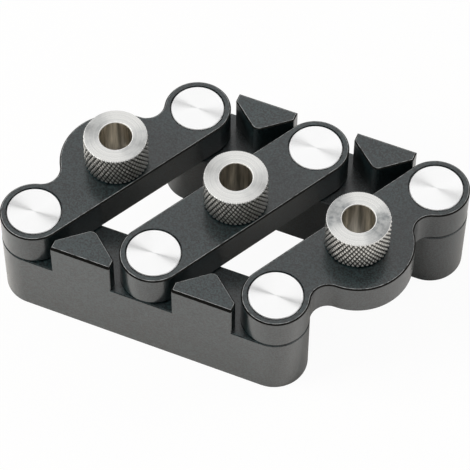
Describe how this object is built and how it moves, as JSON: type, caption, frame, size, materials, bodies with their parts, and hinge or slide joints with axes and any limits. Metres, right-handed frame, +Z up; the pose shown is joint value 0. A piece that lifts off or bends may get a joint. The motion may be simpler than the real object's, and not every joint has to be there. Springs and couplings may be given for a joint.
{
  "type": "self centering doweling jig",
  "caption": "Parallelogram doweling jig: two rails close on a board by swinging links and hold knurled drill bushings over its centre line.",
  "frame": {"origin": "on the axis of the middle drill bore, in the plane that the two rails stand on", "axes": "+X along the rails, +Y from the front rail to the back rail, +Z up"},
  "size_m": [0.1294, 0.0748, 0.048],
  "materials": {
    "anodised": "dark grey anodised over a fine bead blast",
    "turned_aluminium": "bright turned face with fine concentric marks",
    "bushing_steel": "stainless steel, turned bright, knurled grip",
    "bearing_polymer": "black bearing plastic",
    "screw_steel": "black oxide steel"
  },
  "bodies": {
    "front_jaw": {"front_rail": "anodised", "front_left_pivot_pin": "turned_aluminium", "front_left_thrust_washer": "bearing_polymer", "front_left_pivot_screw": "screw_steel", "front_middle_pivot_pin": "turned_aluminium", "front_middle_thrust_washer": "bearing_polymer", "front_middle_pivot_screw": "screw_steel", "front_right_pivot_pin": "turned_aluminium", "front_right_thrust_washer": "bearing_polymer", "front_right_pivot_screw": "screw_steel"},
    "left_arm": {"left_link": "anodised", "front_left_pivot_bush": "bearing_polymer", "back_left_pivot_bush": "bearing_polymer"},
    "middle_arm": {"middle_link": "anodised", "front_middle_pivot_bush": "bearing_polymer", "back_middle_pivot_bush": "bearing_polymer"},
    "right_arm": {"right_link": "anodised", "front_right_pivot_bush": "bearing_polymer", "back_right_pivot_bush": "bearing_polymer"},
    "back_jaw": {"back_rail": "anodised", "back_left_pivot_pin": "turned_aluminium", "back_left_thrust_washer": "bearing_polymer", "back_left_pivot_screw": "screw_steel", "back_middle_pivot_pin": "turned_aluminium", "back_middle_thrust_washer": "bearing_polymer", "back_middle_pivot_screw": "screw_steel", "back_right_pivot_pin": "turned_aluminium", "back_right_thrust_washer": "bearing_polymer", "back_right_pivot_screw": "screw_steel"},
    "left_bushing": {"left_drill_bushing": "bushing_steel"},
    "middle_bushing": {"middle_drill_bushing": "bushing_steel"},
    "right_bushing": {"right_drill_bushing": "bushing_steel"}
  },
  "joints": [
    {"name": "middle_link_swing", "type": "hinge", "parent": "front_jaw", "child": "middle_arm", "pos_m": [-0.01527, -0.02698, 0.0245], "axis": [0, 0, 1], "range_deg": [-25, 84]},
    {"name": "left_link_swing", "type": "hinge", "parent": "front_jaw", "child": "left_arm", "pos_m": [-0.05427, -0.02698, 0.0245], "axis": [0, 0, 1], "range_deg": [-25, 84]},
    {"name": "right_link_swing", "type": "hinge", "parent": "front_jaw", "child": "right_arm", "pos_m": [0.02373, -0.02698, 0.0245], "axis": [0, 0, 1], "range_deg": [-25, 84]},
    {"name": "back_rail_swing", "type": "hinge", "parent": "middle_arm", "child": "back_jaw", "pos_m": [0.01527, 0.02698, 0.0245], "axis": [0, 0, 1], "range_deg": [-84, 25]},
    {"name": "left_bushing_lift", "type": "slide", "parent": "left_arm", "child": "left_bushing", "axis": [0, 0, 1], "range_m": [0, 0.014]},
    {"name": "middle_bushing_lift", "type": "slide", "parent": "middle_arm", "child": "middle_bushing", "axis": [0, 0, 1], "range_m": [0, 0.014]},
    {"name": "right_bushing_lift", "type": "slide", "parent": "right_arm", "child": "right_bushing", "axis": [0, 0, 1], "range_m": [0, 0.014]}
  ],
  "couplings": [
    {"joint": "left_link_swing", "follows": "middle_link_swing", "ratio": 1},
    {"joint": "right_link_swing", "follows": "middle_link_swing", "ratio": 1},
    {"joint": "back_rail_swing", "follows": "middle_link_swing", "ratio": -1}
  ]
}
